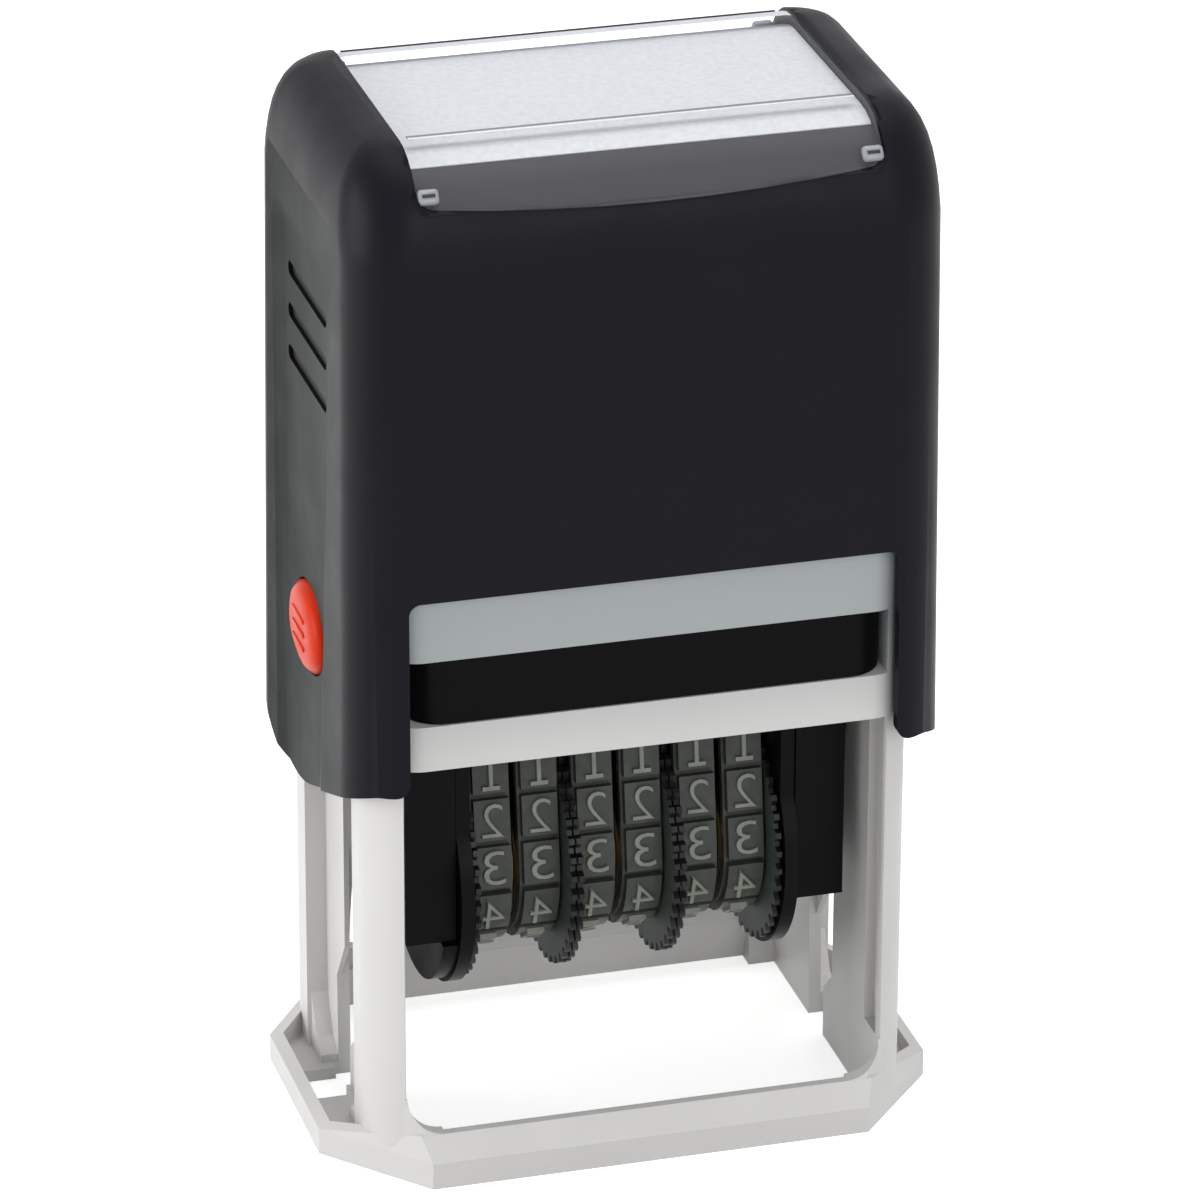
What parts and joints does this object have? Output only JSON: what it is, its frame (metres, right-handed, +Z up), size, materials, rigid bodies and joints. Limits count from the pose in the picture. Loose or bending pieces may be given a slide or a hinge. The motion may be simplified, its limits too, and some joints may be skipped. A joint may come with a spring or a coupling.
{
  "type": "self-inking numbering machine",
  "caption": "Self-inking number stamp: a sprung cover slides over a frame and turns a carriage with thumb-wheel number bands from the ink pad down to the paper.",
  "frame": {"origin": "centre of the foot's underside, on the paper", "axes": "+Z up along the stroke, -Y towards the front with the number bands, +X to the right"},
  "size_m": [0.0592, 0.0392, 0.1008],
  "materials": {
    "frame_plastic": "light grey moulded ABS, fine satin",
    "cover_plastic": "black moulded ABS, satin gloss",
    "black_plastic": "black moulded plastic, low gloss",
    "wheel_plastic": "dark olive grey moulded plastic",
    "rubber": "dark olive grey rubber, slightly dusty",
    "button_plastic": "orange-red moulded plastic, ribbed",
    "felt": "ink-soaked felt",
    "card": "plain coated card",
    "clear": "clear moulded plastic",
    "steel": "drawn spring steel",
    "washer_brass": "stamped brass"
  },
  "bodies": {
    "frame": {"base_frame": "frame_plastic", "return_spring": "steel"},
    "ink_pad": {"ink_tray": "black_plastic", "ink_felt": "felt"},
    "cover": {"cover": "cover_plastic", "bridge_yoke": "black_plastic", "index_card": "card", "index_window": "clear"},
    "button_left": {"lock_button_left": "button_plastic"},
    "button_right": {"lock_button_right": "button_plastic"},
    "carriage": {"carriage": "black_plastic", "text_plate": "frame_plastic", "text_die": "rubber", "print_bridge": "black_plastic", "cheek_left": "black_plastic", "cheek_right": "black_plastic", "wheel_axle": "steel", "spacer_washers": "washer_brass", "number_band_1": "rubber", "number_band_2": "rubber", "number_band_3": "rubber", "number_band_4": "rubber", "number_band_5": "rubber", "number_band_6": "rubber"},
    "wheel_1": {"number_wheel_1": "wheel_plastic"},
    "wheel_2": {"number_wheel_2": "wheel_plastic"},
    "wheel_3": {"number_wheel_3": "wheel_plastic"},
    "wheel_4": {"number_wheel_4": "wheel_plastic"},
    "wheel_5": {"number_wheel_5": "wheel_plastic"},
    "wheel_6": {"number_wheel_6": "wheel_plastic"}
  },
  "joints": [
    {"name": "cover_press", "type": "slide", "parent": "frame", "child": "cover", "axis": [0, 0, -1], "range_m": [0, 0.028], "stiffness_N_per_m": 350, "springref_m": -0.012, "deforming": ["return_spring"]},
    {"name": "pad_slide", "type": "slide", "parent": "frame", "child": "ink_pad", "axis": [0, 1, 0], "range_m": [-0.03, 0]},
    {"name": "button_left_press", "type": "slide", "parent": "cover", "child": "button_left", "axis": [1, 0, 0], "range_m": [0, 0.0009], "stiffness_N_per_m": 500, "springref_m": -0.002},
    {"name": "button_right_press", "type": "slide", "parent": "cover", "child": "button_right", "axis": [-1, 0, 0], "range_m": [0, 0.0009], "stiffness_N_per_m": 500, "springref_m": -0.002},
    {"name": "carriage_turn", "type": "hinge", "parent": "cover", "child": "carriage", "pos_m": [0, 0, 0.0371], "axis": [-1, 0, 0], "range_deg": [0, 180]},
    {"name": "wheel_1_turn", "type": "hinge", "parent": "carriage", "child": "wheel_1", "pos_m": [0, 0, 0.0245], "axis": [1, 0, 0], "continuous": true},
    {"name": "wheel_2_turn", "type": "hinge", "parent": "carriage", "child": "wheel_2", "pos_m": [0, 0, 0.0245], "axis": [1, 0, 0], "continuous": true},
    {"name": "wheel_3_turn", "type": "hinge", "parent": "carriage", "child": "wheel_3", "pos_m": [0, 0, 0.0245], "axis": [1, 0, 0], "continuous": true},
    {"name": "wheel_4_turn", "type": "hinge", "parent": "carriage", "child": "wheel_4", "pos_m": [0, 0, 0.0245], "axis": [1, 0, 0], "continuous": true},
    {"name": "wheel_5_turn", "type": "hinge", "parent": "carriage", "child": "wheel_5", "pos_m": [0, 0, 0.0245], "axis": [1, 0, 0], "continuous": true},
    {"name": "wheel_6_turn", "type": "hinge", "parent": "carriage", "child": "wheel_6", "pos_m": [0, 0, 0.0245], "axis": [1, 0, 0], "continuous": true}
  ],
  "couplings": [
    {"joint": "carriage_turn", "follows": "cover_press", "rad_per_m": 112.2}
  ]
}
